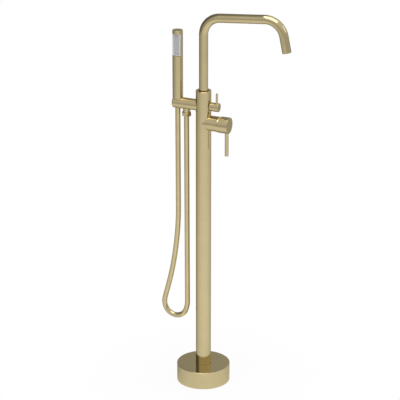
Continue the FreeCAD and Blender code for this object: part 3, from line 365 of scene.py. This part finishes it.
class FillerFinish(bpy.types.PropertyGroup):
    brass_colour: FloatVectorProperty(
        name="Brass", description="Colour of the coated brass", subtype="COLOR",
        size=3, min=0.0, max=1.0, default=colour("D0C094")[:3])
    brass_roughness: FloatProperty(
        name="Brass roughness", description="Softness of the brass's reflections",
        subtype="FACTOR", min=0.02, max=1.0, default=0.1)
    brass_edge: FloatVectorProperty(
        name="Brass edge", description="Tint of the coat where it is seen at a low angle",
        subtype="COLOR", size=3, min=0.0, max=1.0, default=(0.85, 0.815, 0.745))


class FillerHose(bpy.types.PropertyGroup):
    diameter: FloatProperty(
        name="Hose diameter", description="Outside diameter of the shower hose",
        unit="LENGTH", min=0.004, max=0.03, default=0.0153)
    steps: IntProperty(
        name="Steps", description="Divisions of the hose between two points of its route",
        min=4, max=64, default=24)


class FillerTrim(bpy.types.PropertyGroup):
    # The border's width is also the width of the spray plate's painted highlight
    plate_border: FloatProperty(
        name="Plate border", description="Width of the spray plate's sloping border",
        unit="LENGTH", min=0.0005, max=0.005, default=0.0032)
    plate_slope: FloatProperty(
        name="Plate slope", description="How far the border falls back to its outer edge",
        unit="LENGTH", min=0.0, max=0.0013, default=0.0004)
    dome_fall: FloatProperty(
        name="Dome fall", description="How much the mixer's neck narrows towards the handle",
        unit="LENGTH", min=0.0, max=0.006, default=0.0036)


class FillerStudio(bpy.types.PropertyGroup):
    light: FloatProperty(
        name="Light", description="Level of the studio light, where 1 shows a colour as written",
        min=0.1, max=3.0, default=1.0)


class FILLER_OT_finish(bpy.types.Operator):
    """Give every CAD node its finish"""
    bl_idname = "filler.finish"
    bl_label = "Finish the metal and plastic pieces"

    def execute(self, context):
        settings = context.scene.filler_finish
        dress(UPRIGHT_BRASS, brushed_brass("brushed_brass_round_z", settings))
        dress(LEVEL_BRASS, brushed_brass("brushed_brass_round_x", settings, level=True))
        dress(BENT_BRASS, brushed_brass("brushed_brass_spout", settings, SPOUT_TURNS))
        dress(BRANCHED_BRASS, brushed_brass("brushed_brass_body", settings, BODY_TURNS))
        # Bare CZ121 turning brass is yellower than the coat and keeps its tool marks
        dress(RAW_BRASS, turned_metal("turned_brass", "CDAA62", "B8934A", 0.28, 0.4))
        # Stainless steel, turned and pickled: a grey that is slightly warm
        dress(STEEL, turned_metal("turned_stainless_steel", "BDBCB9", "A3A3A2", 0.3, 0.4))
        # Lapped alumina: white, dense and almost without grain
        dress(CERAMIC, moulded("lapped_alumina", "F0EEE8", "E6E3DB", 0.16, 0.3, 0.0005))
        # Glass filled nylon: off white with a slightly dry skin
        dress(NYLON, moulded("glass_filled_nylon", "DAD7CE", "CBC7BC", 0.45, 0.5, 0.008))
        # Acetal: slippery and near black
        dress(ACETAL, moulded("black_acetal", "1A1A1D", "131315", 0.35, 0.4, 0.004))
        # EPDM rubber: black with a fine bloom
        dress(RUBBER, moulded("black_rubber", "171717", "212120", 0.62, 0.3, 0.01))
        # Silicone nozzles: barely darker than the plate and softer
        dress(["spray_nozzles"], moulded("grey_silicone", "C1C1C2", "BCBCBD", 0.5, 0.4, 0.004))
        return {"FINISHED"}


class FILLER_OT_hose(bpy.types.Operator):
    """Make the shower hose along its route"""
    bl_idname = "filler.hose"
    bl_label = "Make the shower hose"

    def execute(self, context):
        settings = context.scene.filler_hose
        line = bpy.data.curves.new("shower_hose_route", "CURVE")
        line.dimensions = "3D"
        line.resolution_u = settings.steps
        spline = line.splines.new("NURBS")
        spline.points.add(len(HOSE_ROUTE) - 1)
        for point, (x, z) in zip(spline.points, HOSE_ROUTE):
            point.co = (x, 0.0, z, 1.0)
        spline.order_u = HOSE_ORDER
        spline.use_endpoint_u = True
        carrier = bpy.data.objects.new("shower_hose_route", line)
        route = bpy.data.meshes.new_from_object(carrier)
        line.bevel_depth = settings.diameter / 2
        line.bevel_resolution = HOSE_ROUNDNESS
        line.use_fill_caps = True
        mesh = bpy.data.meshes.new_from_object(carrier)
        mesh.name = "shower_hose_skin"
        bpy.data.objects.remove(carrier)
        for polygon in mesh.polygons:
            polygon.use_smooth = len(polygon.vertices) == 4
        hose = bpy.data.objects.new("shower_hose_skin", mesh)
        context.scene.collection.objects.link(hose)
        hose.data.materials.clear()
        hose.data.materials.append(metallised_hose(context.scene.filler_finish))
        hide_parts("shower_hose")
        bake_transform(hose)
        return {"FINISHED"}


def new_piece(shape, name, material, replaced, body):
    """Turn a finished bmesh into a piece that stands for a CAD node and rides on its body."""
    bmesh.ops.recalc_face_normals(shape, faces=shape.faces)
    mesh = bpy.data.meshes.new(name)
    shape.to_mesh(mesh)
    shape.free()
    piece = bpy.data.objects.new(name, mesh)
    bpy.context.scene.collection.objects.link(piece)
    piece.data.materials.append(material)
    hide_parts(replaced)
    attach(piece, body)
    return piece


class FILLER_OT_plate(bpy.types.Operator):
    """Make the hand shower's spray plate, whose border slopes back to the body"""
    bl_idname = "filler.plate"
    bl_label = "Make the spray plate"

    def execute(self, context):
        trim = context.scene.filler_trim
        low, high = (Vector(corner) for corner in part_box("spray_plate"))
        shape = bmesh.new()
        bmesh.ops.create_cube(shape, size=1.0)
        bmesh.ops.scale(shape, vec=high - low, verts=shape.verts)
        bmesh.ops.translate(shape, vec=(low + high) / 2, verts=shape.verts)
        front = [face for face in shape.faces if face.normal.y < -0.9]
        if len(front) != 1:
            raise RuntimeError("The spray plate has no single front face")
        rim = [vertex for vertex in shape.verts if vertex.co.y < low.y + CLOSE]
        bmesh.ops.inset_region(shape, faces=front, thickness=trim.plate_border)
        bmesh.ops.translate(shape, vec=(0.0, trim.plate_slope, 0.0), verts=rim)
        edges = [edge for edge in shape.edges
                 if all(vertex.co.y < low.y + CLOSE for vertex in edge.verts)]
        bmesh.ops.bevel(shape, geom=edges, offset=PLATE_ROUND, segments=PLATE_ROUND_STEPS,
                        profile=0.5, affect="EDGES", material=-1)
        grey = spray_grey(low, high, trim.plate_border)
        piece = new_piece(shape, "spray_plate_skin", grey, "spray_plate", "handset")
        for polygon in piece.data.polygons:
            polygon.use_smooth = True
        return {"FINISHED"}


class FILLER_OT_neck(bpy.types.Operator):
    """Make the domed neck between the mixer's barrel and its handle"""
    bl_idname = "filler.neck"
    bl_label = "Make the mixer's neck"

    def execute(self, context):
        trim = context.scene.filler_trim
        low, high = (Vector(corner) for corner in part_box("dome_ring"))
        middle = (low + high) / 2
        length = high.x - BARREL_FACE
        shape = bmesh.new()
        profile = [(low.x, NECK_BORE), (low.x, SPIGOT_RADIUS), (BARREL_FACE, SPIGOT_RADIUS)]
        for step in range(NECK_STEPS + 1):
            share = step / NECK_STEPS
            fall = trim.dome_fall * (DOME_CURVE[0] * share + DOME_CURVE[1] * share * share)
            profile.append((BARREL_FACE + length * share, DOME_RADIUS - fall))
        profile.append((high.x, NECK_BORE))
        line = [Vector((x, middle.y, middle.z + radius)) for x, radius in profile]
        corners = [shape.verts.new(place) for place in line]
        edges = [shape.edges.new(pair) for pair in zip(corners, corners[1:] + corners[:1])]
        bmesh.ops.spin(shape, geom=corners + edges, cent=middle, axis=(1.0, 0.0, 0.0),
                       angle=math.tau, steps=NECK_TURN_STEPS, use_merge=True)
        brass = brushed_brass("brushed_brass_neck", context.scene.filler_finish, level=True)
        piece = new_piece(shape, "neck_dome_skin", brass, "dome_ring", "stand")
        for polygon in piece.data.polygons:
            polygon.use_smooth = abs(polygon.normal.x) < 0.9
        return {"FINISHED"}


class FILLER_OT_stage(bpy.types.Operator):
    """Set up the camera, the floor and the studio light"""
    bl_idname = "filler.stage"
    bl_label = "Set up the studio"

    def execute(self, context):
        settings = context.scene.filler_studio
        camera = bpy.data.cameras.new("photo_camera")
        camera.lens = CAMERA_LENS
        camera.sensor_width = CAMERA_SENSOR
        camera.clip_end = CAMERA_FAR
        eye = bpy.data.objects.new("photo_camera", camera)
        eye.location = CAMERA_PLACE
        eye.rotation_euler = Vector(CAMERA_AIM).to_track_quat("-Z", "Y").to_euler()
        context.scene.collection.objects.link(eye)
        context.scene.camera = eye

        shape = bmesh.new()
        bmesh.ops.create_grid(shape, x_segments=1, y_segments=1, size=FLOOR_HALF)
        floor_mesh = bpy.data.meshes.new("studio_floor")
        shape.to_mesh(floor_mesh)
        shape.free()
        floor = bpy.data.objects.new("studio_floor", floor_mesh)
        context.scene.collection.objects.link(floor)
        floor.data.materials.append(studio_floor())

        for name, place, aim, size, level in SOFTBOXES:
            lamp = bpy.data.lights.new(name, "AREA")
            lamp.shape = "RECTANGLE"
            lamp.size, lamp.size_y = size
            lamp.energy = level * settings.light * math.pi * size[0] * size[1]
            light = bpy.data.objects.new(name, lamp)
            light.location = place
            towards = Vector(aim) - Vector(place)
            light.rotation_euler = towards.to_track_quat("-Z", "Y").to_euler()
            context.scene.collection.objects.link(light)

        studio_world(context.scene, settings.light)
        context.scene.view_settings.view_transform = "Standard"
        return {"FINISHED"}


def light_path(tree, seen):
    """How much white backdrop a ray gets: all of it for the camera, and the socket or number
    seen for a ray that metal or glass sends on."""
    path = add_node(tree, "ShaderNodeLightPath")
    sent = add_node(tree, "ShaderNodeMath", {"operation": "ADD"},
                    path.outputs["Is Glossy Ray"], path.outputs["Is Transmission Ray"])
    shown = add_node(tree, "ShaderNodeMath", {"operation": "MULTIPLY"}, sent.outputs[0], seen)
    return path.outputs["Is Camera Ray"], shown.outputs[0]


def ramp(tree, value, stops):
    """A smooth run of levels over a value, from (value, level) stops."""
    first, last = stops[0][0], stops[-1][0]
    spread = add_node(tree, "ShaderNodeMapRange", {"From Min": first, "From Max": last},
                      Value=value)
    levels = add_node(tree, "ShaderNodeValToRGB", Fac=spread.outputs["Result"])
    band = levels.color_ramp
    band.interpolation = "EASE"
    while len(band.elements) < len(stops):
        band.elements.new(1.0)
    for element, (place, level) in zip(band.elements, stops):
        element.position = (place - first) / (last - first)
        element.color = (level, level, level, 1.0)
    return levels.outputs["Color"]


def studio_floor():
    """A white paper floor: the backdrop's white to the camera, with the object's shadow on it.
    Metal sees it as a glow with painted shade: dimmer behind the object, far off and on the left."""
    material, tree, paper = new_material("studio_floor")
    paper.inputs["Base Color"].default_value = colour(FLOOR_PAPER)
    paper.inputs["Roughness"].default_value = FLOOR_ROUGHNESS
    place = add_node(tree, "ShaderNodeTexCoord").outputs["Object"]
    distance = add_node(tree, "ShaderNodeVectorMath", {"operation": "LENGTH"}, place)
    to_camera = ramp(tree, distance.outputs["Value"], FLOOR_WHITE)
    bearing = add_node(tree, "ShaderNodeVectorMath", {"operation": "NORMALIZE"}, place)
    side = add_node(tree, "ShaderNodeVectorMath", {"operation": "DOT_PRODUCT"},
                    bearing.outputs["Vector"], FLOOR_FRONT)
    left = add_node(tree, "ShaderNodeVectorMath", {"operation": "DOT_PRODUCT"}, place, FLOOR_LEFT)
    by_side = ramp(tree, side.outputs["Value"], FLOOR_BY_SIDE)
    by_distance = ramp(tree, distance.outputs["Value"], FLOOR_BY_DISTANCE)
    by_left = ramp(tree, left.outputs["Value"], FLOOR_BY_LEFT)
    # The glow that metal sees, with painted shade by side, by distance and on the left
    near = add_node(tree, "ShaderNodeMath", {"operation": "MULTIPLY"}, by_side, by_distance)
    to_metal = add_node(tree, "ShaderNodeMath", {"operation": "MULTIPLY"},
                        near.outputs[0], by_left)
    camera, sent = light_path(tree, FLOOR_SHEEN)
    white = add_node(tree, "ShaderNodeMath", {"operation": "MULTIPLY_ADD"},
                     camera, to_camera, sent)
    tone = add_node(tree, "ShaderNodeMath", {"operation": "MAXIMUM"}, camera, to_metal.outputs[0])
    glow = add_node(tree, "ShaderNodeEmission", {"Strength": 1.0}, Color=tone.outputs[0])
    mix = add_node(tree, "ShaderNodeMixShader", {},
                   white.outputs[0], paper.outputs["BSDF"], glow.outputs["Emission"])
    tree.links.new(mix.outputs["Shader"], tree.get_output_node("ALL").inputs["Surface"])
    return material


def studio_world(scene, light):
    """The backdrop is white to the camera; metal sees it low behind, and the dimmer room above."""
    world = bpy.data.worlds.new("studio_world")
    world.use_nodes = True
    tree = world.node_tree
    tree.nodes.clear()
    where = add_node(tree, "ShaderNodeTexCoord").outputs["Generated"]
    side = add_node(tree, "ShaderNodeSeparateXYZ", Vector=where)
    height = ramp(tree, side.outputs["Z"], ROOM_BY_HEIGHT)
    card = add_node(tree, "ShaderNodeVectorMath", {"operation": "DOT_PRODUCT"}, where, CARD_SIDE)
    shade = ramp(tree, card.outputs["Value"], CARD_SHADE)
    room = add_node(tree, "ShaderNodeMath", {"operation": "MULTIPLY"}, height, shade)
    behind = ramp(tree, side.outputs["Y"], BACKDROP_BY_DEPTH)
    low = ramp(tree, side.outputs["Z"], BACKDROP_BY_HEIGHT)
    backdrop_seen = add_node(tree, "ShaderNodeMath", {"operation": "MULTIPLY"}, behind, low)
    camera, sent = light_path(tree, backdrop_seen.outputs[0])
    white = add_node(tree, "ShaderNodeMath", {"operation": "ADD", "use_clamp": True},
                     camera, sent)
    dim = add_node(tree, "ShaderNodeBackground", {"Strength": light}, Color=room.outputs[0])
    backdrop = add_node(tree, "ShaderNodeBackground",
                        {"Strength": 1.0, "Color": (1.0, 1.0, 1.0, 1.0)})
    mix = add_node(tree, "ShaderNodeMixShader", {}, white.outputs[0],
                   dim.outputs["Background"], backdrop.outputs["Background"])
    add_node(tree, "ShaderNodeOutputWorld", Surface=mix.outputs["Shader"])
    scene.world = world


class FILLER_PT_panel(bpy.types.Panel):
    bl_label = "Bath filler"
    bl_idname = "FILLER_PT_panel"
    bl_space_type = "VIEW_3D"
    bl_region_type = "UI"
    bl_category = "Bath filler"

    def draw(self, context):
        scene = context.scene
        for name in ("brass_colour", "brass_roughness"):
            self.layout.prop(scene.filler_finish, name)
        for name in ("diameter", "steps"):
            self.layout.prop(scene.filler_hose, name)
        for name in ("plate_border", "plate_slope", "dome_fall"):
            self.layout.prop(scene.filler_trim, name)
        self.layout.prop(scene.filler_studio, "light")
        for operator in (FILLER_OT_stage, FILLER_OT_hose, FILLER_OT_plate, FILLER_OT_neck,
                         FILLER_OT_finish):
            self.layout.operator(operator.bl_idname)


CLASSES = [
    FillerFinish, FillerHose, FillerTrim, FillerStudio,
    FILLER_OT_finish, FILLER_OT_hose, FILLER_OT_plate, FILLER_OT_neck, FILLER_OT_stage,
    FILLER_PT_panel,
]


def register():
    for cls in CLASSES:
        bpy.utils.register_class(cls)
    bpy.types.Scene.filler_finish = PointerProperty(type=FillerFinish)
    bpy.types.Scene.filler_hose = PointerProperty(type=FillerHose)
    bpy.types.Scene.filler_trim = PointerProperty(type=FillerTrim)
    bpy.types.Scene.filler_studio = PointerProperty(type=FillerStudio)


def unregister():
    del bpy.types.Scene.filler_studio
    del bpy.types.Scene.filler_trim
    del bpy.types.Scene.filler_hose
    del bpy.types.Scene.filler_finish
    for cls in reversed(CLASSES):
        bpy.utils.unregister_class(cls)


def main():
    register()
    bpy.ops.filler.stage()
    bpy.ops.filler.hose()
    bpy.ops.filler.plate()
    bpy.ops.filler.neck()
    bpy.ops.filler.finish()


if __name__ == "__main__":
    main()
